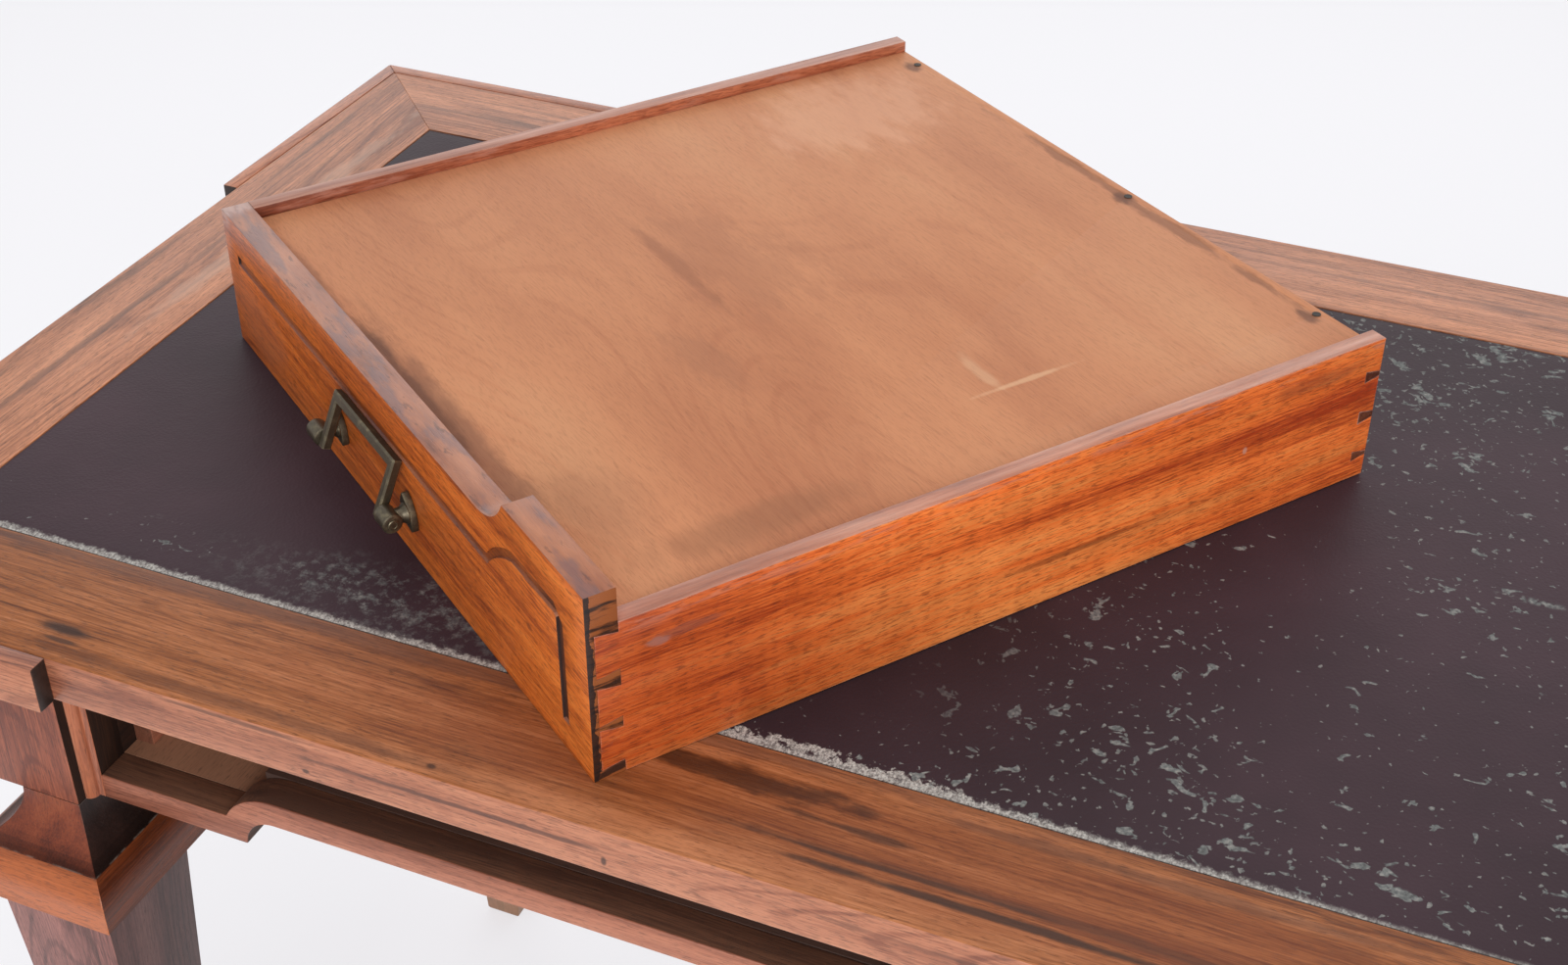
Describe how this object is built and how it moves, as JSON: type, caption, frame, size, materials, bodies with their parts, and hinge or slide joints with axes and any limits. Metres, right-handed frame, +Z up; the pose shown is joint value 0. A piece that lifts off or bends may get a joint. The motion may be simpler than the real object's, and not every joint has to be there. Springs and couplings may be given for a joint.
{
  "type": "writing desk",
  "caption": "Leather-topped writing desk on square tapered legs with moulded collars, stepped frieze drawers with drop handles, one drawer lifted out and laid upside down on the top.",
  "frame": {"origin": "on the floor under the middle of the bounding box", "axes": "+X to the sitter's right along the length, +Y to the back, +Z up; the drawer fronts face -Y"},
  "size_m": [1.406, 0.7436, 0.8668],
  "materials": {
    "leather": "worn, near black",
    "top_veneer": "waxed rosewood brown",
    "inner_wood": "dusty, unfinished",
    "case_wood": "waxed, worn",
    "collar_wood": "waxed, lighter",
    "front_wood": "waxed, orange brown",
    "side_wood": "bare, orange red",
    "bottom_wood": "bare, pale tan",
    "iron": "dark, dull",
    "bronze": "dark bronze patina"
  },
  "bodies": {
    "desk": {"ground_panel": "inner_wood", "leather_panel": "leather", "border_front": "top_veneer", "border_back": "top_veneer", "border_left": "top_veneer", "border_right": "top_veneer", "corner_strips_front_left": "top_veneer", "corner_strips_front_right": "top_veneer", "corner_block_front_left": "case_wood", "corner_block_front_right": "case_wood", "leg_front_left": "case_wood", "leg_front_right": "case_wood", "collar_front_left": "collar_wood", "collar_front_right": "collar_wood", "corner_strips_rear_left": "top_veneer", "corner_strips_rear_right": "top_veneer", "corner_block_rear_left": "case_wood", "corner_block_rear_right": "case_wood", "leg_rear_left": "case_wood", "leg_rear_right": "case_wood", "collar_rear_left": "collar_wood", "collar_rear_right": "collar_wood", "stile_left": "case_wood", "stile_right": "case_wood", "stile_centre": "case_wood", "front_rail_left": "case_wood", "front_rail_right": "case_wood", "drawer_guide_left": "inner_wood", "drawer_guide_right": "inner_wood", "lower_floor_left": "inner_wood", "lower_floor_right": "inner_wood", "upper_floor_left": "inner_wood", "upper_floor_right": "inner_wood", "runner_left": "case_wood", "runner_right": "case_wood", "side_panel_left": "case_wood", "side_panel_right": "case_wood", "centre_partition": "inner_wood", "back_panel": "case_wood", "glue_blocks": "inner_wood"},
    "left_drawer": {"left_drawer_front": "front_wood", "left_drawer_side_outer": "side_wood", "left_drawer_side_inner": "side_wood", "left_drawer_back": "side_wood", "left_drawer_bottom": "bottom_wood", "left_drawer_nails": "iron", "left_drawer_handle_plates": "bronze", "left_drawer_handle_posts": "bronze"},
    "left_bail": {"left_drawer_bail": "bronze"},
    "right_drawer": {"right_drawer_front": "front_wood", "right_drawer_side_outer": "side_wood", "right_drawer_side_inner": "side_wood", "right_drawer_back": "side_wood", "right_drawer_bottom": "bottom_wood", "right_drawer_nails": "iron", "right_drawer_handle_plates": "bronze", "right_drawer_handle_posts": "bronze"},
    "right_bail": {"right_drawer_bail": "bronze"}
  },
  "joints": [
    {"name": "left_drawer_lift", "type": "slide", "parent": "desk", "child": "left_drawer", "axis": [0, 0, 1], "range_m": [0, 0.3]},
    {"name": "left_bail_swing", "type": "hinge", "parent": "left_drawer", "child": "left_bail", "pos_m": [-0.38305, -0.19277, 0.7873], "axis": [0.8151, -0.5793, 0], "range_deg": [0, 200]},
    {"name": "right_drawer_slide", "type": "slide", "parent": "desk", "child": "right_drawer", "axis": [0, -1, 0], "range_m": [0, 0.35]},
    {"name": "right_bail_swing", "type": "hinge", "parent": "right_drawer", "child": "right_bail", "pos_m": [0.24825, -0.31933, 0.687], "axis": [-1, 0, 0], "range_deg": [-22, 200]}
  ]
}
